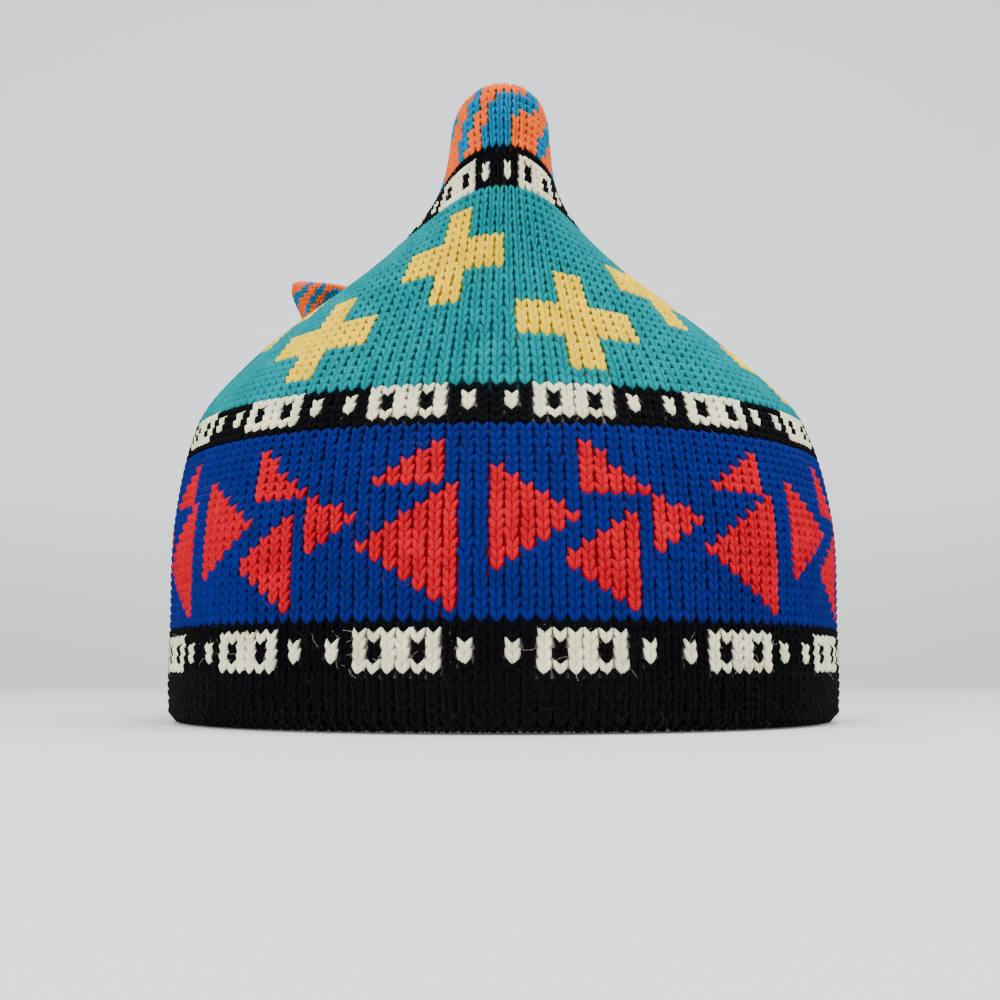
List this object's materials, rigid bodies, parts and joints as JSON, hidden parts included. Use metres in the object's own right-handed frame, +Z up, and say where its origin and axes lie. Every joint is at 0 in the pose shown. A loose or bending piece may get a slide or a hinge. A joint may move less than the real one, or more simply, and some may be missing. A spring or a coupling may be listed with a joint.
{
  "type": "beanie",
  "caption": "Hollow knitted beanie: a straight patterned tube with a folded hem, closed by a curved crest with one upright rounded corner.",
  "frame": {"origin": "centre of the rim, on the surface that the hat rests on", "axes": "+Z up through the hat, -Y towards the upright front corner, +X to its right in the picture"},
  "size_m": [0.1908, 0.1901, 0.174],
  "materials": {
    "hem_wool": "black wool, plain knit, doubled",
    "border_wool": "black and cream stranded wool knit",
    "band_wool": "blue and red stranded wool knit",
    "crown_wool": "teal and yellow stranded wool knit",
    "crest_wool": "orange and blue stranded wool knit"
  },
  "bodies": {
    "root": {"hem": "hem_wool", "lower_border": "border_wool", "side_band": "band_wool", "upper_border": "border_wool", "crown": "crown_wool", "crest_border": "border_wool", "crest": "crest_wool"}
  },
  "joints": []
}
